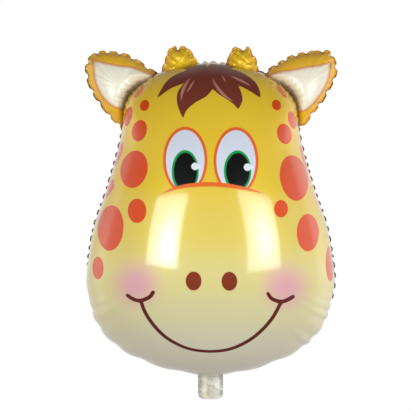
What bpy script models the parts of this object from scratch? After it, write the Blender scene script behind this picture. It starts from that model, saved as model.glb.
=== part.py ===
"""Giraffe-head foil balloon, filled with gas and lying on its back, face up.

Two printed foil sheets, cut to one outline and heat-sealed all round, swell into a pillow
with two ears and two horns. A flat valve of clear film is sealed in at the chin.
X runs to the right of the face, Y runs up the face to the horns and Z points out of it.
The origin is the middle of the small flat that the back rests on.
"""
import math

import bmesh
import bpy
import numpy as np
from mathutils import Matrix, Vector
from mathutils.geometry import interpolate_bezier

# Head, in metres. Its outline is the outer edge of the seam.
HEAD_HEIGHT = 0.626
HEAD_WIDTH = 0.502
FRONT_DEPTH = 0.162
BACK_DEPTH = 0.162
FULLEST_SHARE = 0.42    # of the head's height up from the chin, where it is deepest
REST_CUT = 0.004        # how much of the back is pressed flat
HEAD_FULLNESS = 2.4     # 2 is an ellipse in section, more is boxier

# Seam: the flat band where the two sheets are welded
SEAM_WIDTH = 0.005
SHEET_THICKNESS = 0.0012
SHEET_GAP = 0.0003

# Puckers: the folds that the seam pulls into the sheets
PUCKER_COUNT = 27
PUCKER_SHARE = 0.30     # of its height that a valley loses beside the seam
PUCKER_FADE_SHARE = 0.07  # of the way in from the seam, over which a valley fades

# Ears: each is a leaf with its root sunk in the head
EAR_LENGTH = 0.140
EAR_WIDTH = 0.124
EAR_DEPTH = 0.040
EAR_ANGLE = math.radians(38.5)
EAR_ROOT_SHARE = 0.894  # of the head's height up from the chin
EAR_SINK = 0.028
EAR_FULLNESS = 2.2
EAR_PUCKERS = 11

# Horns: two knobs on the crown
HORN_HEIGHT = 0.038
HORN_WIDTH = 0.071
HORN_DEPTH = 0.021
HORN_SPACING = 0.122
HORN_FULLNESS = 2.2
HORN_PUCKERS = 8
CROWN_SHARE = 0.9        # of the head's height up from the chin, where the crown begins

# Filling valve: a strip of clear film between the sheets
VALVE_WIDTH = 0.050
VALVE_REACH = 0.050      # below the chin's seam
VALVE_INSIDE = 0.022     # between the sheets
VALVE_THICKNESS = 0.0008
VALVE_PRESSED = 0.0006   # thickness where it is welded between the sheets
VALVE_LIP = 0.001        # how far outside the chin's seam the pressed part begins
VALVE_CORNER = 0.012
CORNER_STEPS = 6
ROUND_PROFILE = 0.5
VALVE_CLEARANCE = 0.0003

# Mesh fineness: points round an outline, and rings from its seam to its fullest point
HEAD_ROUND, HEAD_RINGS = 108, 9
EAR_ROUND, EAR_RINGS = 44, 6
HORN_ROUND, HORN_RINGS = 32, 5
KNOT_STEPS = 17          # points from one knot of an outline to the next
SHARP_ANGLE = math.radians(40)

# Half outlines as shares. Head: (of the height up from the chin, of the half width).
HEAD_HALF = [(1.0, 0.0), (0.989, 0.203), (0.966, 0.42), (0.937, 0.535), (0.905, 0.63),
             (0.872, 0.687), (0.83, 0.712), (0.78, 0.718), (0.72, 0.748), (0.594, 0.837),
             (0.479, 0.936), (0.364, 0.988), (0.288, 1.0), (0.208, 0.952), (0.134, 0.853),
             (0.077, 0.693), (0.032, 0.446), (0.008, 0.2), (0.0, 0.0)]
# Ear: (of the length out from its root, of the half width up from its middle)
EAR_LEAF = [(0.04, 1.0), (0.24, 1.0), (0.45, 0.92), (0.60, 0.81), (0.81, 0.54), (0.95, 0.27),
            (0.99, -0.09), (0.84, -0.48), (0.73, -0.69), (0.56, -0.85), (0.37, -0.96),
            (0.19, -1.06), (0.03, -1.08), (-0.22, -0.82), (-0.42, 0.0), (-0.26, 0.8)]
EAR_POLE = (0.34, -0.08)
# Horn: (of the height up from the crown, of the half width outwards)
HORN_KNOB = [(0.20, 0.93), (0.74, 0.67), (1.0, 0.30), (0.94, -0.30), (0.63, -0.70),
             (0.22, -1.0), (-0.60, -0.9), (-1.0, 0.0), (-0.60, 0.85)]
HORN_POLE = (0.05, 0.0)

SEAM_LEVEL = BACK_DEPTH - REST_CUT


def clear_scene():
    for thing in list(bpy.data.objects):
        bpy.data.objects.remove(thing, do_unlink=True)


def new_collection(name):
    collection = bpy.data.collections.new(name)
    bpy.context.scene.collection.children.link(collection)
    return collection


def make_material(name, color, metallic, roughness, alpha=1.0):
    material = bpy.data.materials.new(name)
    material.use_nodes = True
    shader = material.node_tree.nodes["Principled BSDF"]
    shader.inputs["Base Color"].default_value = (*color, 1.0)
    shader.inputs["Metallic"].default_value = metallic
    shader.inputs["Roughness"].default_value = roughness
    shader.inputs["Alpha"].default_value = alpha
    material.diffuse_color = (*color, alpha)
    return material


def smooth_outline(knots, count):
    """A smooth closed curve through the knots, as evenly spaced points."""
    knots = [Vector((x, y, 0)) for x, y in knots]
    chords = [(knots[(i + 1) % len(knots)] - knot).length for i, knot in enumerate(knots)]
    slopes = [(knots[(i + 1) % len(knots)] - knots[i - 1]) / (chords[i - 1] + chords[i])
              for i in range(len(knots))]
    fine = []
    for i, knot in enumerate(knots):
        after = (i + 1) % len(knots)
        handle = knot + slopes[i] * chords[i] / 3
        far_handle = knots[after] - slopes[after] * chords[i] / 3
        fine += interpolate_bezier(knot, handle, far_handle, knots[after], KNOT_STEPS)[:-1]
    fine = np.array([point.to_2d() for point in fine + fine[:1]])
    travelled = np.concatenate([[0], np.cumsum(np.linalg.norm(np.diff(fine, axis=0), axis=1))])
    stops = np.linspace(0, travelled[-1], count, endpoint=False)
    return np.stack([np.interp(stops, travelled, fine[:, axis]) for axis in (0, 1)], axis=1)


def inset(outline, distance):
    """The outline moved inwards. It runs anticlockwise, so inwards is to its left."""
    along = np.roll(outline, -1, axis=0) - np.roll(outline, 1, axis=0)
    along /= np.linalg.norm(along, axis=1)[:, None]
    return outline + distance * np.stack([-along[:, 1], along[:, 0]], axis=1)


def puffed_lobe(name, outline, pole, depths, rings, fullness, puckers, collection):
    """A pillow over a closed outline: a sphere's rings laid out from the pole to the seam."""
    count = len(outline)
    edge = inset(outline, SEAM_WIDTH)
    band = SHEET_THICKNESS + SHEET_GAP / 2
    shape = bmesh.new()
    bmesh.ops.create_uvsphere(shape, u_segments=count, v_segments=2 * rings + 3, radius=1)
    last_ring = 2 * rings + 3
    for vert in shape.verts:
        ring = round(math.acos(max(-1, min(1, vert.co.z))) / math.pi * last_ring)
        front = ring <= rings + 1
        ring = ring if front else last_ring - ring
        turn = math.atan2(vert.co.y, vert.co.x) / math.tau
        at = round(turn * count) % count
        side, depth = (1, depths[0]) if front else (-1, depths[1])
        if ring == rings + 1:
            vert.co = (*outline[at], side * band)
            continue
        angle = math.pi / 2 * ring / rings
        outwards = math.sin(angle) ** (2 / fullness)
        height = max(0, math.cos(angle)) ** (2 / fullness)
        valley = 0.5 - 0.5 * side * math.cos(math.tau * puckers * at / count)
        height *= 1 - PUCKER_SHARE * valley * math.exp((outwards - 1) / PUCKER_FADE_SHARE)
        flat = pole + outwards * (edge[at] - pole)
        vert.co = (*flat, side * (band + (depth - band) * height))
    mesh = bpy.data.meshes.new(name)
    shape.to_mesh(mesh)
    shape.free()
    lobe = bpy.data.objects.new(name, mesh)
    collection.objects.link(lobe)
    lobe.hide_render = True
    lobe.display_type = "WIRE"
    return lobe


def head_outline():
    bottom = -FULLEST_SHARE * HEAD_HEIGHT
    half = [(HEAD_WIDTH / 2 * out, bottom + HEAD_HEIGHT * up) for up, out in reversed(HEAD_HALF)]
    mirrored = [(-x, y) for x, y in reversed(half[1:-1])]
    return smooth_outline(half + mirrored, HEAD_ROUND)


def placed(shares, length, width, root, direction, side):
    """Local (out, across) shares turned to a direction from a root, on the right or left."""
    out = np.array([math.cos(direction), math.sin(direction)])
    across = np.array([-out[1], out[0]])
    points = [root + out * (length * u) + across * (width / 2 * v) for u, v in shares]
    return [(side * x, y) for x, y in points]


def make_ear(outline, side, collection):
    height = (EAR_ROOT_SHARE - FULLEST_SHARE) * HEAD_HEIGHT
    right_edge = outline[(outline[:, 0] > 0) & (outline[:, 1] > 0)]
    order = np.argsort(right_edge[:, 1])
    reach = np.interp(height, right_edge[order, 1], right_edge[order, 0])
    out = np.array([math.cos(EAR_ANGLE), math.sin(EAR_ANGLE)])
    root = np.array([reach, height]) - EAR_SINK * out
    leaf = placed(EAR_LEAF + [EAR_POLE], EAR_LENGTH, EAR_WIDTH, root, EAR_ANGLE, side)
    pole = np.array(leaf.pop())
    ring = leaf[::-1] if side > 0 else leaf
    return puffed_lobe(f"ear_{'right' if side > 0 else 'left'}", smooth_outline(ring, EAR_ROUND),
                       pole, (EAR_DEPTH, EAR_DEPTH), EAR_RINGS, EAR_FULLNESS, EAR_PUCKERS,
                       collection)


def make_horn(outline, side, collection):
    crown = outline[outline[:, 1] > HEAD_HEIGHT * (CROWN_SHARE - FULLEST_SHARE)]
    order = np.argsort(crown[:, 0])
    base = np.interp(HORN_SPACING / 2, crown[order, 0], crown[order, 1])
    root = np.array([HORN_SPACING / 2, base])
    knob = [(u, -v) for u, v in HORN_KNOB + [HORN_POLE]]
    knob = placed(knob, HORN_HEIGHT, HORN_WIDTH, root, math.pi / 2, side)
    pole = np.array(knob.pop())
    ring = knob if side > 0 else knob[::-1]
    return puffed_lobe(f"horn_{'right' if side > 0 else 'left'}",
                       smooth_outline(ring, HORN_ROUND), pole, (HORN_DEPTH, HORN_DEPTH),
                       HORN_RINGS, HORN_FULLNESS, HORN_PUCKERS, collection)


def union_of(base, others):
    """One mesh of all the lobes, with creases where they cross."""
    for other in others:
        union = base.modifiers.new(f"join_{other.name}", "BOOLEAN")
        union.operation = "UNION"
        union.solver = "EXACT"
        union.object = other
    bpy.context.view_layer.update()
    evaluated = base.evaluated_get(bpy.context.evaluated_depsgraph_get())
    return bpy.data.meshes.new_from_object(evaluated)


def cut_flat(shape, level, keep_above):
    """Keeps one side of a level plane and closes the cut with a flat face."""
    everything = shape.verts[:] + shape.edges[:] + shape.faces[:]
    cut = bmesh.ops.bisect_plane(shape, geom=everything, plane_co=(0, 0, level),
                                 plane_no=(0, 0, 1), dist=1e-6,
                                 clear_inner=keep_above, clear_outer=not keep_above)
    rim = [item for item in cut["geom_cut"] if isinstance(item, bmesh.types.BMEdge)]
    bmesh.ops.edgeloop_fill(shape, edges=[edge for edge in rim if len(edge.link_faces) == 1])


def make_sheet(name, whole, front, material, collection, parent):
    """One foil sheet with the half of the filled body behind it."""
    shape = bmesh.new()
    shape.from_mesh(whole)
    cut_flat(shape, SHEET_GAP / 2 if front else -SHEET_GAP / 2, keep_above=front)
    if not front:
        cut_flat(shape, -SEAM_LEVEL, keep_above=True)
    bmesh.ops.recalc_face_normals(shape, faces=shape.faces[:])
    mesh = bpy.data.meshes.new(name)
    shape.to_mesh(mesh)
    shape.free()
    mesh.shade_smooth()
    mesh.set_sharp_from_angle(angle=SHARP_ANGLE)
    mesh.materials.clear()
    mesh.materials.append(material)
    sheet = bpy.data.objects.new(name, mesh)
    collection.objects.link(sheet)
    sheet.parent = parent
    return sheet


def make_valve(name, clearance, collection):
    """A flat strip with two rounded corners, from between the sheets to past the chin."""
    chin = -FULLEST_SHARE * HEAD_HEIGHT
    width = VALVE_WIDTH + 2 * clearance
    length = VALVE_REACH + VALVE_INSIDE + clearance
    thickness = VALVE_THICKNESS + 2 * clearance
    shape = bmesh.new()
    bmesh.ops.create_cube(shape, size=1, matrix=Matrix.Diagonal((width, length, thickness, 1)))
    corners = [edge for edge in shape.edges
               if all(vert.co.y < 0 for vert in edge.verts)
               and abs(edge.verts[0].co.z - edge.verts[1].co.z) > thickness / 2]
    bmesh.ops.bevel(shape, geom=corners, offset=VALVE_CORNER, segments=CORNER_STEPS,
                    profile=ROUND_PROFILE, affect="EDGES")
    middle = Vector((0, chin - VALVE_REACH + length / 2, 0))
    bmesh.ops.translate(shape, verts=shape.verts, vec=middle)
    for step in (0, VALVE_LIP / 2):
        everything = shape.verts[:] + shape.edges[:] + shape.faces[:]
        bmesh.ops.bisect_plane(shape, geom=everything, plane_co=(0, chin - VALVE_LIP + step, 0),
                               plane_no=(0, 1, 0), dist=1e-6)
    pressed = VALVE_PRESSED + 2 * clearance
    for vert in shape.verts:
        if vert.co.y > chin - VALVE_LIP / 2 - 1e-6:
            vert.co.z = math.copysign(pressed / 2, vert.co.z)
    mesh = bpy.data.meshes.new(name)
    shape.to_mesh(mesh)
    shape.free()
    valve = bpy.data.objects.new(name, mesh)
    collection.objects.link(valve)
    return valve


def build_balloon():
    clear_scene()
    parts = new_collection("giraffe_balloon")
    guides = new_collection("construction")
    front_print = make_material("front_print", (0.72, 0.50, 0.05), 0.5, 0.25)
    back_print = make_material("back_print", (0.72, 0.50, 0.05), 0.5, 0.25)
    clear_film = make_material("clear_film", (0.80, 0.77, 0.68), 0.0, 0.25, 0.8)

    seam = bpy.data.objects.new("seam_plane", None)
    seam.location.z = SEAM_LEVEL
    parts.objects.link(seam)

    outline = head_outline()
    head = puffed_lobe("head", outline, np.zeros(2), (FRONT_DEPTH, BACK_DEPTH), HEAD_RINGS,
                       HEAD_FULLNESS, PUCKER_COUNT, guides)
    lobes = [make_ear(outline, side, guides) for side in (1, -1)]
    lobes += [make_horn(outline, side, guides) for side in (1, -1)]
    whole = union_of(head, lobes)
    front_sheet = make_sheet("front_foil", whole, True, front_print, parts, seam)
    back_sheet = make_sheet("back_foil", whole, False, back_print, parts, seam)

    valve = make_valve("filling_valve", 0, parts)
    valve.data.materials.append(clear_film)
    valve.parent = seam
    pocket = make_valve("valve_pocket", VALVE_CLEARANCE, guides)
    pocket.parent = seam
    pocket.hide_render = True
    pocket.display_type = "WIRE"
    for sheet in (front_sheet, back_sheet):
        cut = sheet.modifiers.new("valve_pocket", "BOOLEAN")
        cut.operation = "DIFFERENCE"
        cut.solver = "EXACT"
        cut.object = pocket
    bpy.data.meshes.remove(whole)


build_balloon()
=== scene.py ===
import math
import random
from types import SimpleNamespace

import bpy
import numpy as np
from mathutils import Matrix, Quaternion, Vector, noise
from mathutils.geometry import interpolate_bezier


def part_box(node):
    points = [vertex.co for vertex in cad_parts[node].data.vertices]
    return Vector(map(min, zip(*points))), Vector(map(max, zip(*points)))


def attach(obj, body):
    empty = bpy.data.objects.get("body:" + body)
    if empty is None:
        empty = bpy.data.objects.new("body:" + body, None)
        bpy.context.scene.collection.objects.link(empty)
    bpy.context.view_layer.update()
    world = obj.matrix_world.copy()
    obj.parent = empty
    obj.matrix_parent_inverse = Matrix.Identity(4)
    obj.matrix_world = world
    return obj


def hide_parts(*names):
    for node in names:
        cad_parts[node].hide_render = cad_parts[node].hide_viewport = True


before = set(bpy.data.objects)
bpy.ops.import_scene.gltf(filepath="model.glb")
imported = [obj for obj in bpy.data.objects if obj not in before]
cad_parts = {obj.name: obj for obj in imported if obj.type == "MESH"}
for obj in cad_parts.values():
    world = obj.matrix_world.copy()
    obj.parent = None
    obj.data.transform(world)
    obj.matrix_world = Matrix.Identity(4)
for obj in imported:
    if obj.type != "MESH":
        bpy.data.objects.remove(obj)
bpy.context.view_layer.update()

# The studio: a glowing white table under the balloon, a dim room round it, two windows of
# light that show on the cheeks, and a soft fill overhead. The balloon lies face up, so the
# camera looks straight down on it from the distance of a studio portrait.
photo_size = 416
metres_per_pixel = 0.002
centre_line_pixel = 210.5
fullest_row_pixel = 242.5
seam_level = sum(side.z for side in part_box("filling_valve")) / 2
camera_height = 3.0
table_size = 30
table_gap = 0.0005

bpy.ops.object.select_all(action="DESELECT")
bpy.ops.mesh.primitive_plane_add(size=table_size)
floor = bpy.context.object
floor.name = "floor"
floor.location.z = -table_gap
table_glow = bpy.data.materials.new("table_glow")
table_glow.use_nodes = True
shader = table_glow.node_tree.nodes["Principled BSDF"]
shader.inputs["Base Color"].default_value = (0, 0, 0, 1)
shader.inputs["Specular IOR Level"].default_value = 0
shader.inputs["Emission Color"].default_value = (1, 1, 1, 1)
shader.inputs["Emission Strength"].default_value = 1.0
floor.data.materials.append(table_glow)
floor.visible_glossy = False
floor.visible_diffuse = False

camera_data = bpy.data.cameras.new("camera")
camera_data.sensor_width = 36
camera_data.lens = camera_data.sensor_width * camera_height / (photo_size * metres_per_pixel)
camera = bpy.data.objects.new("camera", camera_data)
camera.location = ((photo_size / 2 - centre_line_pixel) * metres_per_pixel,
                   (fullest_row_pixel - photo_size / 2) * metres_per_pixel,
                   seam_level + camera_height)
bpy.context.scene.collection.objects.link(camera)
bpy.context.scene.camera = camera


def carried(tree, value, low, high, least, most, smooth=False):
    """A node's value carried from one range to another and held at its ends."""
    span = tree.nodes.new("ShaderNodeMapRange")
    if smooth:
        span.interpolation_type = "SMOOTHSTEP"
    sockets = ("From Min", "From Max", "To Min", "To Max")
    for socket, amount in zip(sockets, (low, high, least, most)):
        span.inputs[socket].default_value = amount
    tree.links.new(value, span.inputs["Value"])
    return span.outputs[0]


def color_run(tree, value, shades, ease=False):
    """Colours at places from 0 to 1 along a node's value."""
    ramp = tree.nodes.new("ShaderNodeValToRGB")
    if ease:
        ramp.color_ramp.interpolation = "EASE"
    stops = ramp.color_ramp.elements
    while len(stops) < len(shades):
        stops.new(0.5)
    for stop, (place, color) in zip(stops, shades):
        stop.position = place
        stop.color = color
    tree.links.new(value, ramp.inputs[0])
    return ramp.outputs["Color"]


def softbox(name, place, target, down, across, power, turn, brightest):
    """A panel of light, turned by some degrees, brightest at shares of its two sides."""
    glow_reach = 0.56
    middle_glow = 1.75
    edge_glow = 0.58
    lamp = bpy.data.lights.new(name, "AREA")
    lamp.shape = "RECTANGLE"
    lamp.size = down
    lamp.size_y = across
    lamp.energy = power
    lamp.color = (0.87, 0.93, 1.0)
    lamp.use_nodes = True
    tree = lamp.node_tree
    spread = tree.nodes.new("ShaderNodeVectorMath")
    spread.operation = "DISTANCE"
    spread.inputs[1].default_value = (*brightest, 0)
    on_panel = tree.nodes.new("ShaderNodeNewGeometry").outputs["Parametric"]
    tree.links.new(on_panel, spread.inputs[0])
    fall = carried(tree, spread.outputs["Value"], 0, glow_reach, middle_glow, edge_glow, smooth=True)
    tree.links.new(fall, tree.nodes["Emission"].inputs["Strength"])
    box = bpy.data.objects.new(name, lamp)
    box.location = place
    facing = (Vector(target) - Vector(place)).to_track_quat("-Z", "Y")
    box.rotation_euler = (facing @ Quaternion((0, 0, 1), math.radians(turn))).to_euler()
    box.visible_camera = False
    bpy.context.scene.collection.objects.link(box)
    return box


softbox("left_window", (-0.63, 0.060, 1.75), (-0.08, 0.02, 0.3), 0.67, 0.59, 12.0, -3, (0.60, 0.68))
softbox("right_window", (0.76, 0.050, 1.75), (0.10, 0.02, 0.3), 0.77, 0.70, 12.7, 1.5, (0.5, 0.48))
fill = softbox("overhead_fill", (0, 0, 2.2), (0, 0, 0.3), 1.6, 1.6, 6.5, 0, (0.5, 0.5))
fill.visible_glossy = False

world = bpy.data.worlds.new("studio")
world.use_nodes = True
room = world.node_tree
room_strength = 2.14
way = room.nodes.new("ShaderNodeSeparateXYZ")
room.links.new(room.nodes.new("ShaderNodeTexCoord").outputs["Generated"], way.inputs[0])


def room_ramp(axis, levels):
    """Shares of the full brightness at places along an axis, from -1 to 1."""
    greys = [((place + 1) / 2, (level, level, level, 1)) for place, level in levels]
    return color_run(room, carried(room, way.outputs[axis], -1, 1, 0, 1), greys)


def times(one, other):
    """The product of two nodes' values, or of a node's value and a number."""
    product = room.nodes.new("ShaderNodeMath")
    product.operation = "MULTIPLY"
    room.links.new(one, product.inputs[0])
    if isinstance(other, float):
        product.inputs[1].default_value = other
    else:
        room.links.new(other, product.inputs[1])
    return product.outputs[0]


# Dark behind the camera and above the crown, bright walls left and right. The front faces
# the upper half of the room and the back the lower half.
rising = room_ramp("Z", ((-0.1, 1.0), (0.1, 0.60), (0.50, 0.55), (0.72, 0.28), (0.90, 0.02)))
crossing = room_ramp("X", ((-0.98, 0.84), (-0.80, 0.50), (0.45, 0.53), (0.75, 0.71), (0.98, 1.0)))
over = room_ramp("Y", ((-0.9, 0.34), (-0.4, 0.60), (-0.1, 0.9), (0.2, 0.95), (0.5, 0.40),
                       (0.75, 0.06)))
under = room_ramp("Y", ((-0.9, 0.55), (0.0, 0.86), (0.30, 0.85), (0.60, 0.32)))
lengthwise = room.nodes.new("ShaderNodeMix")
room.links.new(carried(room, way.outputs["Z"], -0.45, -0.10, 0, 1), lengthwise.inputs[0])
room.links.new(under, lengthwise.inputs[2])
room.links.new(over, lengthwise.inputs[3])
room.links.new(times(times(times(rising, crossing), lengthwise.outputs[0]), room_strength),
               room.nodes["Background"].inputs["Strength"])
room.nodes["Background"].inputs["Color"].default_value = (1.0, 0.98, 0.95, 1)
bpy.context.scene.world = world
bpy.context.scene.view_settings.view_transform = "Standard"

# The balloon's two sheets: metallised film, printed on the outside, cut to one outline
# and heat-sealed in a narrow band. Gas swells them into a head, two ears and two horns,
# and the band that can't stretch pulls pleats into them all round.
seam_width = 0.005
weld_half_thickness = 0.0003
head_height = 0.626
head_width = 0.502
fullest_height = 0.42 * head_height
rest_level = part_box("back_foil")[0].z

film_names = ("face_print", "ear_print", "horn_print", "front_seal",
              "back_print", "plain_gold", "back_seal")
films = {name: bpy.data.materials.new(name) for name in film_names}


def points_of(piece):
    """The places of a mesh's points, a row for each."""
    flat = np.empty(len(piece.data.vertices) * 3)
    piece.data.vertices.foreach_get("co", flat)
    return flat.reshape(-1, 3)


def smooth_ring(knots, count, steps=24):
    """A smooth closed curve through the knots, as evenly spaced points, and its length."""
    knots = [Vector((x, y, 0)) for x, y in knots]
    chords = [(knots[(i + 1) % len(knots)] - knot).length for i, knot in enumerate(knots)]
    slopes = [(knots[(i + 1) % len(knots)] - knots[i - 1]) / (chords[i - 1] + chords[i])
              for i in range(len(knots))]
    fine = []
    for i, knot in enumerate(knots):
        after = (i + 1) % len(knots)
        handle = knot + slopes[i] * chords[i] / 3
        far_handle = knots[after] - slopes[after] * chords[i] / 3
        fine += interpolate_bezier(knot, handle, far_handle, knots[after], steps + 1)[:-1]
    fine = np.array([point.to_2d() for point in fine + fine[:1]])
    travelled = np.concatenate([[0], np.cumsum(np.linalg.norm(np.diff(fine, axis=0), axis=1))])
    stops = np.linspace(0, travelled[-1], count, endpoint=False)
    ring = np.stack([np.interp(stops, travelled, fine[:, axis]) for axis in (0, 1)], axis=1)
    return ring, travelled[-1]


def low_waves(ring, waves):
    """The ring with only its first few waves, so that it has no corners left."""
    spectrum = np.fft.fft(ring[:, 0] + 1j * ring[:, 1])
    slow = np.abs(np.fft.fftfreq(len(ring)) * len(ring)) <= waves
    soft = np.fft.ifft(spectrum * slow)
    return np.stack([soft.real, soft.imag], axis=1)


def facing_out(ring):
    """The direction out of a closed ring at each of its points."""
    along_seam = np.roll(ring, -1, axis=0) - np.roll(ring, 1, axis=0)
    along_seam /= np.linalg.norm(along_seam, axis=1)[:, None]
    return np.stack([along_seam[:, 1], -along_seam[:, 0]], axis=1)


def pleat_places(ring, length, spacing, seed, notches):
    """Where the front sheet folds in along the seam: at the notches, and closely elsewhere."""
    dice = random.Random(seed)
    marks = [np.argmin(np.linalg.norm(ring - notch, axis=1)) * length / len(ring)
             for notch in notches]
    first = max([mark for mark in marks if mark < length / 2], default=0.0)
    last = min([mark for mark in marks if mark > length / 2], default=length)
    run = [first]
    while run[-1] < last:
        run.append(run[-1] + spacing * dice.uniform(0.7, 1.3))
    run = first + (np.array(run) - first) * (last - first) / (run[-1] - first)
    places = sorted([*marks, *(run[1:-1] if marks else run[:-1])])
    places = np.array([places[-1] - length, *places, places[0] + length])
    depths = np.array([dice.uniform(0.6, 1.2) for _ in places])
    depths[0], depths[-1] = depths[-2], depths[1]
    return places, depths


# Under the chin the seam turns below the film, from these heights down on the left and on
# the right. The film bulges past it there, and lies calm where the left side begins to turn.
left_turn = -0.03
right_turn = -0.11
turning_run = 0.035
bulge_from = -0.11
bulge_run = 0.04
bulge = 0.0012
calm_above = -0.12

# A pleat works no wider than this many spacings. The band is this share narrower on a sheet
# whose seam turns under, and its outline is cut in by no more than this share of it.
widest_pleat = 1.6
narrowed_band = 0.2
deepest_cut = 0.92


def pleated_seam(ring, length, pleats, tuck):
    """What the pleats and the turn below the chin do at each point of the outline."""
    spacing, seed, fold, notch, notches = pleats
    centres, depths = pleat_places(ring, length, spacing, seed, notches)
    place = np.arange(len(ring)) * length / len(ring)
    count = np.interp(place, centres, np.arange(len(centres)))
    period = np.interp(place, (centres[1:] + centres[:-1]) / 2, np.diff(centres))
    seam = SimpleNamespace(fold=fold, notch=notch, outward=facing_out(ring), folds={})
    seam.period = np.minimum(period, widest_pleat * spacing)
    seam.depth = np.interp(place, centres, depths)
    seam.wave = np.cos(math.tau * count)
    turn = np.where(ring[:, 0] < 0, left_turn, right_turn)
    seam.tucked = tuck * np.clip((turn - ring[:, 1]) / turning_run, 0, 1)
    calm = 1 - seam.tucked * ((ring[:, 0] < 0) & (ring[:, 1] > calm_above))
    crease_share = 0.16 + 0.04 * tuck
    for side, shift in ((1, 0.0), (-1, 0.5)):
        gap = abs(count - shift - np.round(count - shift)) * seam.period
        seam.folds[side] = calm * np.exp(-(gap / (crease_share * seam.period)) ** 2.0)
    flush = tuck * np.clip((bulge_from - ring[:, 1]) / bulge_run, 0, 1)
    pillow = bulge * flush * (1 - seam.wave) / 2
    band = seam_width * (1 - narrowed_band * tuck)
    cut = (1 + 0.6 * tuck) * notch * seam.folds[1] * seam.depth
    cut = np.minimum(cut, deepest_cut * band)
    seam.inner = ring - (band * (1 - flush) - pillow)[:, None] * seam.outward
    seam.outer = ring - cut[:, None] * seam.outward
    seam.pulled = notch * seam.folds[1] * (0.6 - 0.3 * tuck)
    return seam


def grid_rings(points, grid):
    """Each grid point's square ring, counted from the middle, and its place round that ring."""
    x = np.round(points[:, 0] * grid / 2).astype(int)
    y = np.round(points[:, 1] * grid / 2).astype(int)
    rank = np.maximum(abs(x), abs(y))
    lap = np.where((x == rank) & (y < rank), y + rank,
                   np.where((y == rank) & (x > -rank), 3 * rank - x,
                            np.where((x == -rank) & (y > -rank), 5 * rank - y, 7 * rank + x)))
    return rank, lap / np.maximum(8 * rank, 1) * 4 * grid


# A pleat is deepest at a share of its width in from the seam, and fades above that. The
# seam waves with the pleats, and both are calmer where it is tucked under.
widest_swell = 0.018
swell_share = 0.34
steepest = 40
tucked_calm = 0.68
wave_height = 0.10
wave_reach = 0.9
under_fold = 0.0006
crown_from = 0.33
crown_half_width = 0.03


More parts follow.
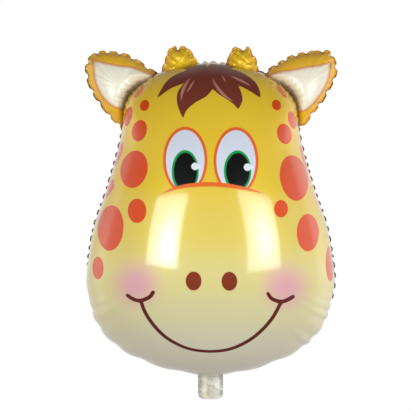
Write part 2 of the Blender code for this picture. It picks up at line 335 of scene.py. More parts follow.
def blown_pillow(name, knots, pole, depths, fullness, grid, pleats, prints, tuck=0, shape=None):
    """Two square grids drawn out to one outline, swollen and sealed along their edge.

    pleats gives their spacing, seed, depth over spacing, notch depth and fixed places.
    """
    ring, length = smooth_ring(knots, 4 * grid)
    soft_ring = low_waves(ring, 2)
    seam = pleated_seam(ring, length, pleats, tuck)
    reach = np.linalg.norm(ring - pole, axis=1).mean()
    angle = np.linspace(0, math.pi / 2, 800)
    out = np.sin(angle) ** (2 / fullness)
    up = np.clip(np.cos(angle), 0, 1) ** (2 / fullness)
    last = grid // 2 - 2
    sides = []
    for side, depth, film, seal in zip((1, -1), depths, prints, ("front_seal", "back_seal")):
        bpy.ops.object.select_all(action="DESELECT")
        bpy.ops.mesh.primitive_grid_add(x_subdivisions=grid, y_subdivisions=grid, size=2)
        sheet = bpy.context.object
        rank, turn = grid_rings(points_of(sheet), grid)
        at = np.floor(turn).astype(int) % len(ring)
        part = (turn % 1)[:, None]
        after = (at + 1) % len(ring)

        def here(values):
            """Values round the seam, read where each grid point faces it."""
            values = values.reshape(len(values), -1)
            return values[at] * (1 - part) + values[after] * part

        # The swollen film: how far out and up each point lies on the section to the seam.
        travelled = np.concatenate([[0], np.cumsum(np.hypot(np.diff(out * reach),
                                                            np.diff(up * depth)))])
        stop = np.minimum(rank / last, 1) * travelled[-1]
        share = np.interp(stop, travelled, out)[:, None]
        height = np.interp(stop, travelled, up)[:, None]
        from_seam = (travelled[-1] - stop)[:, None]
        blend = share ** 3
        plan = pole + share * (here(soft_ring) * (1 - blend) + here(seam.inner) * blend - pole)
        lean = np.interp(stop, travelled, -np.gradient(up * depth, out * reach + 1e-9 * angle))
        lean = np.clip(lean, 0, steepest)[:, None]

        # The pleats: deepest a little way in from the seam, and square to the film.
        swell = from_seam / (swell_share * np.minimum(here(seam.period), widest_swell))
        fade = swell * np.exp(1 - swell)
        sink = seam.fold * here(seam.period) * here(seam.depth) * here(seam.folds[side]) * fade
        sink *= 1 - tucked_calm * here(seam.tucked)
        plan = plan - (sink * lean / np.hypot(lean, 1)
                       + here(seam.pulled) * share ** 20) * here(seam.outward)
        tall = weld_half_thickness + (depth - weld_half_thickness) * height
        tall = np.maximum(tall - sink / np.hypot(lean, 1), weld_half_thickness)
        waving = wave_height * here(seam.period) * here(seam.wave)
        waving *= np.exp(-from_seam / (wave_reach * here(seam.period))) * (1 - here(seam.tucked))

        # The sealed band: flat, notched where a pleat pulls it in, folded under at the chin.
        border = (rank > last)[:, None]
        step = (rank - last)[:, None] / 2
        inner = here(seam.inner - seam.pulled[:, None] * seam.outward)
        folded = inner + under_fold * step * here(seam.outward)
        spread = inner * (1 - step) + here(seam.outer) * step
        spread = folded * here(seam.tucked) + spread * (1 - here(seam.tucked))
        plan = np.where(border, spread, plan)
        tall = np.where(border, weld_half_thickness * (rank < grid // 2)[:, None], tall)
        droop = seam_width * here(seam.tucked) + seam.notch * here(seam.folds[1])
        level = side * tall + waving - np.where(border, step, 0) * droop + seam_level
        places = np.concatenate([plan, level], axis=1)
        if shape is not None:
            places = shape(places, side, from_seam[:, 0])
        sheet.data.vertices.foreach_set("co", places.ravel())

        # The film on each face. The seal band takes the seal film of painted shade, except on the
        # crown and where it is folded under.
        for material in films.values():
            sheet.data.materials.append(material)
        quads = np.empty(len(sheet.data.polygons) * 4, np.int32)
        sheet.data.polygons.foreach_get("vertices", quads)
        crown = (places[:, 1] > crown_from) & (abs(places[:, 0]) < crown_half_width)
        plain = crown | (here(seam.tucked)[:, 0] > 0.5)
        sealed = np.where(plain, 0, rank)[quads.reshape(-1, 4)].max(axis=1) > last + 1 - tuck
        sheet.data.polygons.foreach_set("material_index",
                                        np.where(sealed, film_names.index(seal),
                                                 film_names.index(film)))
        if side < 0:
            sheet.data.flip_normals()
        sides.append(sheet)
    for sheet in sides:
        sheet.select_set(True)
    bpy.context.view_layer.objects.active = sides[0]
    bpy.ops.object.join()
    joined = bpy.context.object
    joined.name = name
    bpy.ops.object.mode_set(mode="EDIT")
    bpy.ops.mesh.select_all(action="SELECT")
    bpy.ops.mesh.remove_doubles(threshold=0.00001)
    bpy.ops.object.mode_set(mode="OBJECT")
    return joined


# Half of the head's outline: shares of the height up from the chin, and of the half width.
head_half = [(1.0, 0.0), (0.989, 0.203), (0.966, 0.42), (0.937, 0.535), (0.905, 0.63),
             (0.872, 0.687), (0.83, 0.712), (0.78, 0.718), (0.72, 0.748), (0.594, 0.837),
             (0.479, 0.936), (0.364, 0.988), (0.288, 1.0), (0.208, 0.952), (0.134, 0.853),
             (0.077, 0.693), (0.032, 0.446), (0.006, 0.2), (-0.002, 0.0)]
right_half = [(head_width / 2 * out, head_height * up - fullest_height)
              for up, out in reversed(head_half)]
head_knots = right_half + [(-x, y) for x, y in reversed(right_half[1:-1])]
front_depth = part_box("front_foil")[1].z - seam_level
pressed_flat = 0.004
back_depth = seam_level - rest_level + pressed_flat

# Broad pillows under the chin meet in these notches; close pleats run up the sides.
chin_notches = [(0.051, -0.2556), (0.1268, -0.2322), (0.181, -0.2022),
                (0.2038, -0.190), (0.2282, -0.1536), (-0.237, -0.131), (-0.2222, -0.1636),
                (-0.1864, -0.2022), (-0.1364, -0.2292), (-0.0578, -0.2522)]
head_pleats = (0.0180, 5, 0.20, 0.0052, chin_notches)
head = blown_pillow("front_foil_print", head_knots, np.zeros(2), (front_depth, back_depth),
                    2.4, 240, head_pleats, ("face_print", "back_print"), tuck=1)

# The ears: leaves of the same two sheets, pinched where they leave the head. A sharp fold
# runs from the upper pinch out into each ear, with a dent between it and the head.
ear_length = 0.140
ear_half_width = 0.064
ear_depth = 0.040
ear_angle = math.radians(38.5)
ear_root = (0.1332, 0.2792)
ear_root_edge = [(0.03, -1.08), (-0.22, -0.82), (-0.42, 0.0), (-0.26, 0.8)]
ear_leaves = {
    1: [(0.04, 1.0), (0.25, 1.0), (0.436, 0.954), (0.58, 0.896), (0.777, 0.70), (0.908, 0.515),
        (1.04, 0.30), (1.055, 0.06), (0.991, -0.318), (0.883, -0.53), (0.753, -0.67),
        (0.511, -0.882), (0.351, -0.96), (0.166, -1.07), *ear_root_edge],
    -1: [(0.04, 1.0), (0.304, 0.97), (0.51, 0.93), (0.677, 0.83), (0.806, 0.665),
         (0.965, 0.395), (1.025, 0.06), (0.996, -0.219), (0.901, -0.453), (0.784, -0.65),
         (0.61, -0.827), (0.443, -0.934), (0.264, -1.025), (0.12, -1.06), *ear_root_edge]}
crease = np.array([(0.1046, 0.3358), (0.115, 0.329), (0.1276, 0.3204), (0.1404, 0.314),
                   (0.1494, 0.305), (0.1564, 0.2974), (0.164, 0.2850), (0.169, 0.2694),
                   (0.1738, 0.2304)])
fold_end = np.array((0.163, 0.330))

# The dent takes a share of the film's rise and is deepest at the crease. The puckers are
# ribs that run out from the crease, and the ridge is the raised fold.
dent_depth = 0.66
dent_width = 0.012
pucker_place = 0.066
pucker_spread = 0.024
pucker_gap = 0.009
pucker_width = 0.008
pucker_height = 0.0100
pucker_spacing = 0.0105
ridge_height = 0.006
ridge_width = 0.0045
away_from_head = np.array((0.836, 0.548))


def leaf_place(side, out, across):
    """A place on the ear: a share of its length from the root, and of its half width."""
    x = (ear_root[0] + ear_length * out * math.cos(ear_angle)
         - ear_half_width * across * math.sin(ear_angle))
    y = (ear_root[1] + ear_length * out * math.sin(ear_angle)
         + ear_half_width * across * math.cos(ear_angle))
    return side * x, y


def to_stretch(places, start, end):
    """Distance from each place to a straight stretch, and the nearest share along it."""
    way = end - start
    share = np.clip((places - start) @ way / max(way @ way, 1e-12), 0, 1)
    return np.linalg.norm(places - start - share[:, None] * way, axis=1), share


def pinched_root(places, side, from_seam):
    """Sinks the ear beside the head, puckers it there, and raises the fold from the pinch."""
    at = np.stack([abs(places[:, 0]), places[:, 1]], axis=1)
    gap = np.full(len(at), 1.0)
    along = np.zeros(len(at))
    run = 0.0
    for start, end in zip(crease[:-1], crease[1:]):
        off, share = to_stretch(at, start, end)
        stretch = np.linalg.norm(end - start)
        along = np.where(off < gap, run + share * stretch, along)
        gap = np.minimum(gap, off)
        run += stretch
    gap = np.where((at - crease[0]) @ away_from_head > 0, gap, 0)
    middle = np.sin(math.pi * np.clip(along / run, 0, 1)) ** 0.6
    dent = dent_depth * middle * np.exp(-(gap / dent_width) ** 1.5)
    pucker = (np.exp(-((along - pucker_place) / pucker_spread) ** 2)
              * np.exp(-((gap - pucker_gap) / pucker_width) ** 2))
    ribs = abs(np.sin(math.pi * (along - gap * 0.5) / pucker_spacing)) ** 0.7 - 0.7
    off, share = to_stretch(at, crease[0], fold_end)
    ridge = ridge_height * np.exp(-off / ridge_width) * np.sin(math.pi * share) ** 0.7
    rise = (places[:, 2] - seam_level) * side
    free = np.clip(from_seam / 0.010, 0, 1)
    rise = rise * (1 - dent * free) + (pucker_height * pucker * ribs + ridge * (side > 0)) * free
    moved = places.copy()
    moved[:, 2] = seam_level + side * rise
    return moved


lobes = []
for side, name in ((1, "right_ear"), (-1, "left_ear")):
    leaf = [leaf_place(side, out, across) for out, across in ear_leaves[side]]
    if side > 0:
        leaf.reverse()
    fullest = np.array(leaf_place(side, 0.42, -0.12))
    ear_pleats = (0.030, 7 + side, 0.05, 0.0066, ())
    lobes.append(blown_pillow(name, leaf, fullest, (ear_depth, ear_depth), 2.2, 96, ear_pleats,
                              ("ear_print", "plain_gold"), shape=pinched_root))

# The horns: two short knobs of the same sheets on the crown, crumpled because they are
# small. Then ears and horns become one skin with the head.
horn_depths = (0.023, 0.021)
crumple_depth = 0.0030
crumple_scale = 44
crumple_free = 0.006
horn_outlines = {
    "right_horn": [(0.098, 0.316), (0.0965, 0.345), (0.0915, 0.3675), (0.083, 0.379),
                   (0.0805, 0.3885), (0.0725, 0.3915), (0.0655, 0.384), (0.054, 0.3915),
                   (0.0435, 0.388), (0.0375, 0.3755), (0.031, 0.361), (0.028, 0.335),
                   (0.035, 0.312), (0.066, 0.306)],
    "left_horn": [(-0.098, 0.316), (-0.098, 0.344), (-0.092, 0.364), (-0.0855, 0.383),
                  (-0.077, 0.3915), (-0.069, 0.3925), (-0.0655, 0.3860), (-0.0590, 0.3925),
                  (-0.049, 0.3915), (-0.037, 0.3805), (-0.025, 0.360), (-0.022, 0.335),
                  (-0.032, 0.312), (-0.064, 0.306)]}


def crumpled(places, side, from_seam):
    """Sharp creases running every way over a knob too small for its stiff film."""
    rise = (places[:, 2] - seam_level) * side
    for i, (x, y) in enumerate(places[:, :2]):
        at = Vector((x * crumple_scale, y * crumple_scale, side * 3))
        folded = noise.ridged_multi_fractal(at, 1.1, 2.1, 2, 1.0, 2)
        free = min(from_seam[i] / crumple_free, 1)
        rise[i] = max(rise[i] - crumple_depth * folded * free, weld_half_thickness)
    moved = places.copy()
    moved[:, 2] = seam_level + side * rise
    return moved


for side, (name, points) in zip((1, -1), horn_outlines.items()):
    fullest = np.array((side * 0.062, 0.352))
    horn_pleats = (0.020, 11 + side, 0.06, 0.0020, ())
    lobes.append(blown_pillow(name, points[::side], fullest, horn_depths, 2.2, 64, horn_pleats,
                              ("horn_print", "plain_gold"), shape=crumpled))
for lobe in lobes:
    join = head.modifiers.new(lobe.name, "BOOLEAN")
    join.operation = "UNION"
    join.solver = "EXACT"
    join.object = lobe
    bpy.context.view_layer.objects.active = head
    bpy.ops.object.modifier_apply(modifier=join.name)
    bpy.data.objects.remove(lobe)

# The skin is pressed flat where it lies, and parts along the seam's edge into the front
# sheet and the back sheet, each with its own printed films.
smooth_angle = math.radians(50)
resting = points_of(head)
resting[:, 2] = np.maximum(resting[:, 2], rest_level)
head.data.vertices.foreach_set("co", resting.ravel())
bpy.ops.object.select_all(action="DESELECT")
head.select_set(True)
bpy.context.view_layer.objects.active = head
bpy.ops.object.mode_set(mode="EDIT")
bpy.ops.mesh.select_mode(type="FACE")
bpy.ops.mesh.select_all(action="DESELECT")
bpy.ops.object.mode_set(mode="OBJECT")
first_back_film = film_names.index("back_print")
on_back = [face.material_index >= first_back_film for face in head.data.polygons]
head.data.polygons.foreach_set("select", on_back)
bpy.ops.object.mode_set(mode="EDIT")
bpy.ops.mesh.separate(type="SELECTED")
bpy.ops.object.mode_set(mode="OBJECT")
back = next(piece for piece in bpy.context.selected_objects if piece is not head)
back.name = "back_foil_print"
for piece, node, slot in ((head, "front_foil", "front_print"), (back, "back_foil", "back_print")):
    bpy.ops.object.select_all(action="DESELECT")
    piece.select_set(True)
    bpy.context.view_layer.objects.active = piece
    bpy.ops.object.shade_smooth_by_angle(angle=smooth_angle)
    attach(piece, "root")
    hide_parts(node)

# The print: inks laid down on the film before it is cut, and, laid in the same way, painted shade
# along the ears' creases and painted sheen on the low sides and the crown. Each is placed as it
# shows from the front, in metres right of the middle line and up from the fullest point. Every
# drawing is kept on the sheet as the distance to its edge, negative inside.
print_reach = 0.02
steep_below = 0.085
side_pull = 0.8


def as_seen(piece):
    """Where each point of the sheet shows from the front, in the plane of the seam."""
    places = points_of(piece)
    nearer = camera_height / (camera_height - (places[:, 2] - seam_level))
    middle = np.array(camera.location[:2])
    return middle + (places[:, :2] - middle) * nearer[:, None]


def laid_flat(piece):
    """Where each point of the steep sides lies once the film is pulled out flat."""
    places = points_of(piece)
    outward = places[:, :2] / np.linalg.norm(places[:, :2], axis=1)[:, None]
    drop = np.maximum(steep_below - abs(places[:, 2] - seam_level), 0)
    return places[:, :2] + side_pull * drop[:, None] * outward


def ellipse(places, x, y, half_width, half_height, tilt=0):
    """Distance to an ellipse, leaning by some degrees."""
    away = places - np.array((x, y))
    turn = math.radians(tilt)
    wide = (away[:, 0] * math.cos(turn) + away[:, 1] * math.sin(turn)) / half_width
    tall = (away[:, 1] * math.cos(turn) - away[:, 0] * math.sin(turn)) / half_height
    size = np.hypot(wide, tall) + 1e-6
    slope = np.hypot(wide / half_width, tall / half_height) / size
    return (size - 1) / slope


def smooth_line(knots, steps=12):
    """A smooth open line through the knots."""
    knots = [Vector((*knot, 0)) for knot in knots]
    line = []
    for i in range(len(knots) - 1):
        before = knots[max(i - 1, 0)]
        beyond = knots[min(i + 2, len(knots) - 1)]
        handle = knots[i] + (knots[i + 1] - before) / 6
        far_handle = knots[i + 1] - (beyond - knots[i]) / 6
        line += interpolate_bezier(knots[i], handle, far_handle, knots[i + 1], steps + 1)[:-1]
    return np.array([point.to_2d() for point in line + knots[-1:]])


def in_reach(places, line):
    """Which places lie in a line's box or within the print's reach of it."""
    low, high = line.min(axis=0) - print_reach, line.max(axis=0) + print_reach
    return np.all((places > low) & (places < high), axis=1)


def to_line(places, line, widths):
    """Distance to a drawn line, less its half width there, which runs through the widths."""
    far = np.full(len(places), print_reach)
    near = in_reach(places, line)
    best = far[near]
    width = np.interp(np.linspace(0, 1, len(line)), np.linspace(0, 1, len(widths)), widths)
    for start, end, thick in zip(line[:-1], line[1:], width):
        best = np.minimum(best, to_stretch(places[near], start, end)[0] - thick / 2)
    far[near] = best
    return far


def shape_inside(places, edges):
    """Distance to a closed shape made of smooth edges that meet at corners."""
    ring = np.concatenate([smooth_line(edge)[:-1] for edge in edges])
    far = np.full(len(places), print_reach)
    near = in_reach(places, ring)
    close = places[near]
    best = far[near]
    inside = np.zeros(len(close), bool)
    for start, end in zip(ring, np.roll(ring, -1, axis=0)):
        best = np.minimum(best, to_stretch(close, start, end)[0])
        way = end - start
        crosses = (start[1] > close[:, 1]) != (end[1] > close[:, 1])
        where = start[0] + (close[:, 1] - start[1]) * way[0] / (way[1] if way[1] else 1)
        inside ^= crosses & (close[:, 0] < where)
    far[near] = np.where(inside, -best, best)
    return far


def keep(piece, name, values):
    """Keeps a drawing's distances on the points of a sheet."""
    layer = piece.data.attributes.new(name, "FLOAT", "POINT")
    layer.data.foreach_set("value", np.clip(values, -print_reach, print_reach).astype(np.float32))


def nearest(*gaps):
    return np.minimum.reduce(gaps)


seen = as_seen(head)
eyes = ((-0.0506, 0.1650, 0.0444, 0.0666), (0.0510, 0.1630, 0.0450, 0.0680))
eye_line = 0.0058
muzzle_top = smooth_line([(-0.1036, 0.0944), (-0.0776, 0.1060), (-0.0476, 0.1132),
                          (-0.0076, 0.1164), (0.0256, 0.1148), (0.059, 0.1098),
                          (0.0824, 0.1046), (0.1076, 0.0976)])
below_muzzle = np.interp(seen[:, 0], muzzle_top[:, 0], muzzle_top[:, 1]) - seen[:, 1]


def peeping(*shapes):
    """Shapes that the muzzle's top edge cuts off."""
    return np.maximum(nearest(*shapes), below_muzzle)


keep(head, "eye_rim", peeping(*[ellipse(seen, *eye) for eye in eyes]))
keep(head, "eye_white", peeping(*[ellipse(seen, x, y - 0.0005, wide - eye_line, tall - eye_line)
                                  for x, y, wide, tall in eyes]))
keep(head, "iris", peeping(ellipse(seen, -0.0506, 0.1420, 0.0270, 0.0430),
                           ellipse(seen, 0.0542, 0.1430, 0.0275, 0.0412)))
keep(head, "pupil", peeping(ellipse(seen, -0.0502, 0.1420, 0.0232, 0.0376),
                            ellipse(seen, 0.0546, 0.1430, 0.0236, 0.0360)))
glints = []
for x, y in ((-0.0310, 0.1522), (0.0740, 0.1506)):
    glints.append(ellipse(seen, x, y, 0.0075, 0.0075))
    glints.append(to_line(seen, np.array([(x, y), (x + 0.008, y)]), [0.008, 0.008]))
keep(head, "glint", nearest(*glints))
keep(head, "muzzle_line", to_line(seen, muzzle_top, [0.001, 0.005, 0.0078, 0.0090, 0.0088,
                                                     0.007, 0.0045, 0.001]))
keep(head, "muzzle", -below_muzzle)

# Spots, left then right: middle, half width, half height and lean in degrees.
face_spots = [(-0.1424, 0.2236, 0.0148, 0.0218, -15), (-0.1530, 0.1464, 0.0270, 0.0378, -12),
              (-0.1470, 0.0634, 0.0186, 0.0244, 0), (-0.2000, 0.0290, 0.0260, 0.0456, -4),
              (-0.2250, -0.0510, 0.0112, 0.0228, 0), (-0.1650, 0.2518, 0.0076, 0.0200, -14),
              (-0.1318, 0.2742, 0.0090, 0.0114, -20), (-0.1418, 0.3018, 0.0040, 0.0160, -40),
              (0.1478, 0.2172, 0.0144, 0.0208, 15), (0.1670, 0.1290, 0.0280, 0.0460, 10),
              (0.1410, 0.0676, 0.0140, 0.0176, 0), (0.1946, 0.0198, 0.0222, 0.0374, 0),
              (0.1636, 0.2450, 0.0080, 0.0180, 14),
              (0.1320, 0.2750, 0.0090, 0.0110, 20), (0.1418, 0.3018, 0.0040, 0.0160, 40)]
# Spots that run over the rim, placed on the film as it lies when it is printed.
rim_spots = [(-0.200, 0.190, 0.024, 0.030, -8), (-0.215, 0.116, 0.028, 0.019, -10),
             (-0.285, 0.094, 0.030, 0.018, 0), (0.204, 0.186, 0.020, 0.028, 8),
             (0.290, 0.084, 0.030, 0.036, 0), (0.251, -0.043, 0.027, 0.036, 4)]
keep(head, "spots", nearest(*[ellipse(seen, *spot) for spot in face_spots],
                            *[ellipse(laid_flat(head), *spot) for spot in rim_spots]))
# A painted pale pink sheen low on the steep sides of the face, where the film reflects the bright
# room. Its edges, like those of the blush, are made softer by keeping a share of the distance.
above_seam = abs(points_of(head)[:, 2] - seam_level)
rim_sheen_height = 0.030
rim_sheen_middle = 0.065
rim_sheen_reach = 0.14
keep(head, "rim", np.maximum((above_seam - rim_sheen_height) * 0.6,
                             (abs(seen[:, 1] - rim_sheen_middle) - rim_sheen_reach) * 0.3))
keep(head, "nostrils", nearest(ellipse(seen, -0.0338, -0.0770, 0.0158, 0.0190),
                               ellipse(seen, 0.0378, -0.0776, 0.0158, 0.0190)))
smile = smooth_line([(-0.139, -0.1182), (-0.131, -0.139), (-0.117, -0.161), (-0.097, -0.183),
                     (-0.073, -0.1998), (-0.041, -0.213), (-0.001, -0.2178), (0.039, -0.213),
                     (0.075, -0.197), (0.103, -0.175), (0.125, -0.149), (0.141, -0.1198)])
curls = [smooth_line(knots) for knots in
         (((-0.166, -0.1056), (-0.155, -0.113), (-0.141, -0.1162), (-0.127, -0.1118),
           (-0.119, -0.1062), (-0.115, -0.0998)),
          ((0.115, -0.1022), (0.121, -0.111), (0.131, -0.1162), (0.143, -0.1182),
           (0.155, -0.1142), (0.165, -0.1082)))]
keep(head, "smile", nearest(to_line(seen, smile, [0.0074, 0.0068, 0.0054, 0.0068, 0.0074]),
                            *[to_line(seen, curl, [0.0070, 0.0080, 0.0080]) for curl in curls]))
blush = nearest(np.hypot(seen[:, 0] + 0.148, seen[:, 1] + 0.084),
                np.hypot(seen[:, 0] - 0.150, seen[:, 1] + 0.088))
blush_radius = 0.036
keep(head, "blush", (blush - blush_radius) * 0.4)

tuft_tips = ((-0.109, 0.286), (-0.0544, 0.2478), (0.055, 0.2654), (0.0998, 0.289))
fringe = [[tuft_tips[0], (-0.093, 0.3158), (-0.075, 0.333), (-0.047, 0.345)],
          [(-0.047, 0.345), (-0.065, 0.351)],
          [(-0.065, 0.351), (-0.040, 0.356), (-0.012, 0.357)],
          [(-0.012, 0.357), (-0.005, 0.351)],
          [(-0.005, 0.351), (0.002, 0.357), (0.030, 0.356), (0.0558, 0.351)],
          [(0.0558, 0.351), (0.039, 0.347)],
          [(0.039, 0.347), (0.054, 0.344), (0.075, 0.333), (0.091, 0.319), (0.099, 0.302),
           tuft_tips[3]],
          [tuft_tips[3], (0.089, 0.2962), (0.075, 0.305), (0.0538, 0.3158)],
          [(0.0538, 0.3158), (0.0586, 0.3074), (0.0636, 0.292), (0.063, 0.281), tuft_tips[2]],
          [tuft_tips[2], (0.049, 0.2738), (0.037, 0.2836), (0.019, 0.295), (0.0044, 0.307)],
          [(0.0044, 0.307), (-0.009, 0.292), (-0.031, 0.2794), (-0.048, 0.264), tuft_tips[1]],
          [tuft_tips[1], (-0.061, 0.261), (-0.067, 0.281), (-0.065, 0.3018), (-0.0522, 0.319)],
          [(-0.0522, 0.319), (-0.075, 0.3102), (-0.093, 0.299), tuft_tips[0]]]
keep(head, "hair", shape_inside(seen, fringe))
# On the crown between the horns, a pale band of painted highlight and a thin dark line above it.
keep(head, "crown_cream", np.maximum(0.3582 - seen[:, 1], abs(seen[:, 0]) - 0.032))
keep(head, "crown_line", np.maximum(0.3622 - seen[:, 1], abs(seen[:, 0]) - 0.030))

# Lights in the hair: crescents between two arcs through the same ends. Each is given by its
# ends and by how far the outer and the inner arc swell to the left of the way down.
strands = [((-0.040, 0.329), (-0.059, 0.283), -0.0078, -0.0016),
           ((-0.032, 0.325), (-0.0474, 0.2996), -0.0020, 0.0020),
           ((0.0036, 0.3296), (0.046, 0.2816), -0.0088, -0.0030),
           ((0.0394, 0.333), (0.081, 0.313), 0.0036, -0.0012),
           ((0.0226, 0.334), (0.0306, 0.321), 0.0014, -0.0014)]


def past_arc(places, start, end, swell):
    """Distance beyond an arc that swells to the left of the way from start to end."""
    start, end = np.array(start), np.array(end)
    way = (end - start) / np.linalg.norm(end - start)
    left = np.array((-way[1], way[0]))
    half = np.linalg.norm(end - start) / 2
    radius = (half ** 2 + swell ** 2) / (2 * swell)
    centre = (start + end) / 2 + left * (swell - radius)
    return (np.linalg.norm(places - centre, axis=1) - abs(radius)) * math.copysign(1, swell)


for number, (start, end, outer, inner) in enumerate(strands):
    outer, inner = max(outer, inner), min(outer, inner)
    keep(head, f"strand_{number}_left", past_arc(seen, start, end, outer))
    keep(head, f"strand_{number}_right", -past_arc(seen, start, end, inner))

# The ears' insides: a cream leaf in a thin darker edge, with painted shade darkening it along the
# crease.
left_cream = [[(-0.108, 0.334), (-0.135, 0.343), (-0.1576, 0.3516), (-0.1832, 0.3544),
               (-0.2118, 0.3602), (-0.2362, 0.3658)],
              [(-0.2362, 0.3658), (-0.2348, 0.3472), (-0.2304, 0.3188), (-0.2162, 0.2902),
               (-0.1976, 0.2730), (-0.1748, 0.2644), (-0.150, 0.262)],
              [(-0.150, 0.262), (-0.108, 0.334)]]
right_cream = [[(0.114, 0.334), (0.1396, 0.343), (0.1624, 0.3458), (0.191, 0.3516),
                (0.2196, 0.3558), (0.241, 0.3616)],
               [(0.241, 0.3616), (0.2402, 0.3444), (0.2368, 0.3272), (0.2282, 0.3072),
                (0.2168, 0.2902), (0.2024, 0.2730), (0.1882, 0.2630), (0.160, 0.258)],
               [(0.160, 0.258), (0.114, 0.334)]]
panels = nearest(shape_inside(seen, left_cream), shape_inside(seen, right_cream))
keep(head, "ear_inside", panels - 0.0008)
keep(head, "ear_cream", panels + 0.0028)
# Painted shade: a band along each ear's crease, where the ear dips beside the head.
root = nearest(*[to_line(seen, crease * (side, 1), [0.004, 0.018, 0.022, 0.008])
                 for side in (1, -1)])
keep(head, "ear_shade", root)

back_spots = [(-0.140, 0.20, 0.024, 0.034, -12), (-0.165, 0.09, 0.030, 0.042, -8),
              (-0.130, -0.01, 0.020, 0.026, 0), (-0.195, -0.07, 0.022, 0.032, 6),
              (-0.040, 0.25, 0.026, 0.030, 10), (-0.050, 0.12, 0.024, 0.034, -6),
              (-0.030, 0.00, 0.018, 0.024, 8), (0.060, 0.19, 0.026, 0.036, 10),
              (0.140, 0.22, 0.020, 0.030, 12), (0.040, 0.06, 0.022, 0.028, 0),
              (0.160, 0.12, 0.028, 0.040, 8), (0.125, 0.01, 0.022, 0.028, 0),
              (0.200, -0.04, 0.022, 0.034, -4), (0.050, 0.30, 0.018, 0.020, 0)]
keep(back, "spots", nearest(*[ellipse(points_of(back)[:, :2], *spot) for spot in back_spots]))


# The films: a ground colour, the inks of the drawings laid over it in turn, and a clear
# coat. The film is partly metal, and its roughness strays a little from place to place.
def ink(red, green, blue):
    """A printing colour, given as it shows on a screen."""
    return (*[(c / 255 / 12.92) if c <= 10 else ((c / 255 + 0.055) / 1.055) ** 2.4
              for c in (red, green, blue)], 1)


def inked(tree, cover, under, color):
    """A printing colour laid over another, as far as the cover says."""
    mix = tree.nodes.new("ShaderNodeMix")
    mix.data_type = "RGBA"
    factor, below, above = (mix.inputs[i] for i in (0, 6, 7))
    tree.links.new(cover, factor)
    tree.links.new(under, below)
    above.default_value = ink(*color)
    return mix.outputs[2]


def drawing(tree, names):
    """The distance to the edge of a drawing, or of what several drawings have in common."""
    gap = None
    for name in [names] if isinstance(names, str) else names:
        layer = tree.nodes.new("ShaderNodeAttribute")
        layer.attribute_name = name
        if gap is None:
            gap = layer.outputs["Fac"]
            continue
        common = tree.nodes.new("ShaderNodeMath")
        common.operation = "MAXIMUM"
        tree.links.new(gap, common.inputs[0])
        tree.links.new(layer.outputs["Fac"], common.inputs[1])
        gap = common.outputs[0]
    return gap


# The ground colour runs between these heights, in metres up from the fullest point.
ground_low = -0.27
ground_high = 0.40


def foil(material, ground, layers, metallic=0.14, roughness=0.48, coat=1.0, stray=0.0):
    """Metallised film in a ground colour that runs down the balloon, under layers of ink.

    A layer gives its drawing, its colour with how much it covers, and its soft edge.
    """
    material.use_nodes = True
    tree = material.node_tree
    shader = tree.nodes["Principled BSDF"]
    shader.inputs["Metallic"].default_value = metallic
    shader.inputs["Specular IOR Level"].default_value = 0.15
    shader.inputs["Coat Weight"].default_value = coat
    shader.inputs["Coat Roughness"].default_value = 0.09
    shader.inputs["Coat IOR"].default_value = 1.65
    place = tree.nodes.new("ShaderNodeTexCoord").outputs["Object"]
    apart = tree.nodes.new("ShaderNodeSeparateXYZ")
    tree.links.new(place, apart.inputs[0])
    patches = tree.nodes.new("ShaderNodeTexNoise")
    patches.inputs["Scale"].default_value = 12
    tree.links.new(place, patches.inputs["Vector"])
    strayed = tree.nodes.new("ShaderNodeMath")
    strayed.operation = "MULTIPLY_ADD"
    strayed.inputs[1].default_value = stray
    tree.links.new(patches.outputs["Fac"], strayed.inputs[0])
    tree.links.new(carried(tree, apart.outputs["Y"], ground_low, ground_high, 0, 1),
                   strayed.inputs[2])
    shades = [((height - ground_low) / (ground_high - ground_low) + stray / 2, ink(*color))
              for height, color in ground]
    painted = color_run(tree, strayed.outputs[0], shades, ease=True)
    for names, color, soft in layers:
        most = color[3] if len(color) == 4 else 1
        cover = carried(tree, drawing(tree, names), soft, -soft, 0, most, smooth=True)
        painted = inked(tree, cover, painted, color[:3])
    tree.links.new(painted, shader.inputs["Base Color"])
    grain = tree.nodes.new("ShaderNodeTexNoise")
    grain.inputs["Scale"].default_value = 30
    grain.inputs["Detail"].default_value = 3
    tree.links.new(place, grain.inputs["Vector"])
    tree.links.new(carried(tree, grain.outputs["Fac"], 0, 1, roughness - 0.05, roughness + 0.06),
                   shader.inputs["Roughness"])
    bump = tree.nodes.new("ShaderNodeBump")
    bump.inputs["Strength"].default_value = 0.12
    bump.inputs["Distance"].default_value = 0.002
    tree.links.new(grain.outputs["Fac"], bump.inputs["Height"])
    tree.links.new(bump.outputs[0], shader.inputs["Normal"])


crisp = 0.0006
head_ground = [(-0.262, (214, 206, 188)), (-0.20, (224, 216, 186)), (-0.13, (228, 216, 162)),
               (-0.07, (230, 214, 136)), (0.03, (232, 204, 80)), (0.12, (238, 200, 48)),
               (0.28, (250, 206, 52)), (0.36, (246, 200, 48))]
orange = (230, 74, 8)
foil(films["face_print"], head_ground,
     [("muzzle", (255, 240, 190, 0.06), 0.02), ("blush", (236, 166, 182, 0.85), 0.012),
      ("spots", orange, crisp), ("eye_rim", (240, 104, 40), crisp),
      ("eye_white", (224, 227, 236), crisp), ("iris", (14, 160, 74), crisp),
      ("pupil", (0, 0, 0), crisp), ("glint", (238, 240, 244), crisp),
      # Painted sheen: pale pink low on the steep sides of the face.
      ("rim", (255, 220, 206, 0.65), 0.008),
      ("muzzle_line", (240, 108, 38), crisp), ("nostrils", (140, 50, 22), crisp),
      ("smile", (98, 12, 4), crisp), ("hair", (128, 57, 43), crisp)]
     + [((f"strand_{number}_left", f"strand_{number}_right"), (198, 130, 112), 0.0008)
        for number in range(len(strands))]
     # A painted highlight on the crown, then a thin dark line above it.
     + [("crown_cream", (240, 230, 196, 0.9), 0.0012), ("crown_line", (96, 100, 48), crisp)])
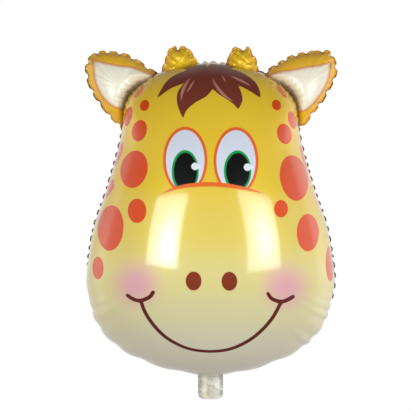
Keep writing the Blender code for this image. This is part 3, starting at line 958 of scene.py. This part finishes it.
foil(films["ear_print"], [(0.2, (255, 194, 40)), (0.4, (255, 196, 60))],
     [("ear_inside", (228, 130, 40), 0.0012), ("ear_cream", (255, 246, 220), 0.0044),
      # Painted shade along the ears' crease: a broad brown band, then a tight dark core.
      ("ear_shade", (138, 88, 36, 0.80), 0.0100),
      ("ear_shade", (84, 58, 18, 0.40), 0.0030)],
     0.10, 0.38, 0.24)
gold = (238, 178, 16)
foil(films["horn_print"], [(0.2, (255, 192, 20)), (0.4, (255, 204, 46))], [], 0.30, 0.40, 0.3)
foil(films["back_print"], head_ground, [("spots", orange, crisp)])
foil(films["plain_gold"], [(0.2, gold), (0.4, gold)], [], 0.6, 0.32, 0.3)

# The seal band is painted with shade and reflections: olive low down, crimson beside the eyes, brown
# above, and golden low on the ears and round the horns' tops.
seal_painted_shades = [(-0.14, (104, 100, 48)), (0.02, (98, 90, 38)), (0.05, (120, 22, 40)),
               (0.11, (136, 12, 36)), (0.14, (100, 50, 22)), (0.21, (150, 92, 24)),
               (0.24, (214, 156, 30)), (0.29, (112, 58, 18)), (0.34, (120, 64, 20)),
               (0.38, (200, 132, 28))]
for name in ("front_seal", "back_seal"):
    foil(films[name], seal_painted_shades, [], 0.10, 0.50, 0.10, 0.16)

# The filling valve: two layers of clear film welded down both edges, sealed in at the chin.
# It hangs below the chin's seam, creased, with its mouth at the free end.
valve_low, valve_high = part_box("filling_valve")
valve_grid = 48
corner = 0.012
weld = 0.0035
half_width = (valve_high.x - valve_low.x) / 2
length = valve_high.y - valve_low.y
puff_height = 0.0022
crease_height = 0.0012
wedge_height = 0.0016
wedge_place = 0.030
wedge_width = 0.006
crease_scale = (60, 32)
film_gap = 0.0004

bpy.ops.object.select_all(action="DESELECT")
bpy.ops.mesh.primitive_grid_add(x_subdivisions=valve_grid, y_subdivisions=valve_grid, size=2)
valve = bpy.context.object
valve.name = "valve_film"
for vert in valve.data.vertices:
    across, along = vert.co.x, (vert.co.y + 1) / 2
    up = along * length
    cut = corner - math.sqrt(max(corner ** 2 - max(corner - up, 0) ** 2, 0))
    x = across * (half_width - cut)
    y = valve_low.y + up
    open_width = max(half_width - weld - abs(x), 0) / half_width
    puff = puff_height * math.sin(math.pi * min(open_width * 1.2, 0.5)) * (1 - 0.4 * along)
    wrinkle = noise.noise(Vector((x * crease_scale[0], y * crease_scale[1], 3.0)))
    ridge = crease_height * wrinkle * min(1, (1 - along) * 2.5)
    wedge = wedge_height * max(0, 1 - abs(up - wedge_place + 0.5 * x) / wedge_width)
    held_flat = min(1, (1 - along) * 3)
    vert.co = (x, y, seam_level + weld_half_thickness + (puff + ridge + wedge) * held_flat)
thick = valve.modifiers.new("two_layers", "SOLIDIFY")
thick.thickness = film_gap
thick.offset = 0
bpy.ops.object.modifier_apply(modifier=thick.name)
bpy.ops.object.shade_smooth_by_angle(angle=smooth_angle)

clear_film = bpy.data.materials.new("clear_film")
clear_film.use_nodes = True
tree = clear_film.node_tree
shader = tree.nodes["Principled BSDF"]
place = tree.nodes.new("ShaderNodeTexCoord").outputs["Object"]
apart = tree.nodes.new("ShaderNodeSeparateXYZ")
tree.links.new(place, apart.inputs[0])
clouds = tree.nodes.new("ShaderNodeTexNoise")
clouds.inputs["Scale"].default_value = 90
clouds.inputs["Detail"].default_value = 3
tree.links.new(place, clouds.inputs["Vector"])
cloudy = clouds.outputs["Fac"]

# Grey along the welded edges, with one milky yellow fold left of the middle.
shades = [(0.0, (170, 162, 148)), (0.10, (218, 211, 194)), (0.20, (250, 240, 192)),
          (0.26, (240, 230, 186)), (0.34, (204, 196, 174)), (0.60, (226, 218, 198)),
          (0.88, (238, 232, 216)), (1.0, (180, 173, 158))]
across = carried(tree, apart.outputs["X"], valve_low.x, valve_high.x, 0, 1, smooth=True)
striped = color_run(tree, across, [(share, ink(*color)) for share, color in shades])
milky = inked(tree, carried(tree, cloudy, 0.45, 0.65, 0.0, 0.7, smooth=True), striped,
              (250, 246, 230))
tree.links.new(milky, shader.inputs["Base Color"])
tree.links.new(carried(tree, cloudy, 0.3, 0.7, 0.14, 0.30, smooth=True), shader.inputs["Roughness"])
tree.links.new(carried(tree, cloudy, 0.3, 0.7, 0.70, 0.90, smooth=True), shader.inputs["Alpha"])
valve.data.materials.append(clear_film)
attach(valve, "root")
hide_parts("filling_valve")
